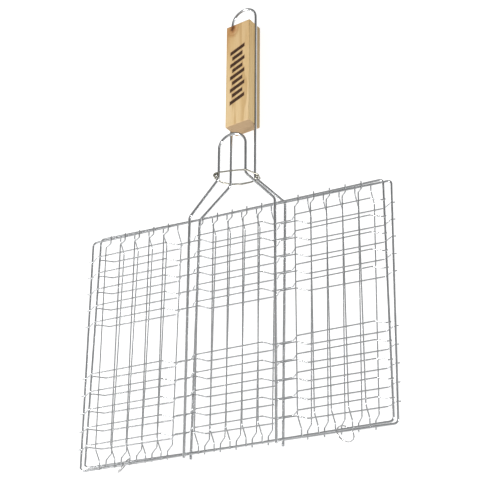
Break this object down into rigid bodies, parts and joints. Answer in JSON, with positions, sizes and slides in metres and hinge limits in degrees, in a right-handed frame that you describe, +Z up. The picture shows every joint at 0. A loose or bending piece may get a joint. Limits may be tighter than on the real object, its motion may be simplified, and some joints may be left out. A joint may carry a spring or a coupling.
{
  "type": "grill basket",
  "caption": "Two hinged wire mesh panels with shallow trays, a long handle loop with a wooden block, a short closing loop and a sliding latch ring.",
  "frame": {"origin": "bottom centre of the whole basket lying flat", "axes": "X across the panels, +Y from the hinge end to the hanging loop, +Z up, away from what the lower panel rests on"},
  "size_m": [0.3632, 0.5672, 0.0313],
  "materials": {
    "frame_wire": "bright plated steel wire",
    "handle_wire": "bright plated steel wire",
    "rod_wire": "plated steel wire",
    "cross_wire": "plated steel wire",
    "latch_wire": "dull steel wire with a warm tint",
    "ring_wire": "plated steel wire",
    "wood": "plain sanded pine"
  },
  "bodies": {
    "lower_panel": {"lower_frame": "frame_wire", "lower_handle": "handle_wire", "wood_handle": "wood", "lower_rod_01": "rod_wire", "lower_rod_02": "rod_wire", "lower_rod_03": "rod_wire", "lower_rod_04": "rod_wire", "lower_rod_05": "rod_wire", "lower_rod_06": "rod_wire", "lower_rod_07": "rod_wire", "lower_rod_08": "rod_wire", "lower_rod_09": "rod_wire", "lower_rod_10": "rod_wire", "lower_rod_11": "rod_wire", "lower_rod_12": "rod_wire", "lower_rod_13": "rod_wire", "lower_rod_14": "rod_wire", "lower_rod_15": "rod_wire", "lower_cross_01": "cross_wire", "lower_cross_02": "cross_wire", "lower_cross_03": "cross_wire", "lower_cross_04": "cross_wire", "lower_cross_05": "cross_wire", "lower_cross_06": "cross_wire", "lower_cross_07": "cross_wire", "lower_cross_08": "cross_wire", "lower_cross_09": "cross_wire", "lower_cross_10": "cross_wire"},
    "upper_panel": {"upper_frame": "frame_wire", "upper_handle": "handle_wire", "upper_rod_01": "rod_wire", "upper_rod_02": "rod_wire", "upper_rod_03": "rod_wire", "upper_rod_04": "rod_wire", "upper_rod_05": "rod_wire", "upper_rod_06": "rod_wire", "upper_rod_07": "rod_wire", "upper_rod_08": "rod_wire", "upper_rod_09": "rod_wire", "upper_rod_10": "rod_wire", "upper_rod_11": "rod_wire", "upper_rod_12": "rod_wire", "upper_rod_13": "rod_wire", "upper_rod_14": "rod_wire", "upper_rod_15": "rod_wire", "upper_cross_01": "cross_wire", "upper_cross_02": "cross_wire", "upper_cross_03": "cross_wire", "upper_cross_04": "cross_wire", "upper_cross_05": "cross_wire", "upper_cross_06": "cross_wire", "upper_cross_07": "cross_wire", "upper_cross_08": "cross_wire", "upper_cross_09": "cross_wire", "upper_cross_10": "cross_wire"},
    "latch": {"latch_ring": "latch_wire"},
    "left_hinge_ring": {"hinge_ring_left": "ring_wire"},
    "right_hinge_ring": {"hinge_ring_right": "ring_wire"}
  },
  "joints": [
    {"name": "panel_hinge", "type": "hinge", "parent": "lower_panel", "child": "upper_panel", "pos_m": [0.00392, -0.2738, 0.01686], "axis": [1, 0, 0], "range_deg": [0, 180]},
    {"name": "latch_slide", "type": "slide", "parent": "lower_panel", "child": "latch", "axis": [0, 1, 0], "range_m": [0, 0.058]},
    {"name": "left_ring_swing", "type": "hinge", "parent": "lower_panel", "child": "left_hinge_ring", "pos_m": [-0.12353, -0.2738, 0.01686], "axis": [1, 0, 0], "range_deg": [-20, 20]},
    {"name": "right_ring_swing", "type": "hinge", "parent": "lower_panel", "child": "right_hinge_ring", "pos_m": [0.12422, -0.2738, 0.01686], "axis": [1, 0, 0], "range_deg": [-20, 20]}
  ]
}
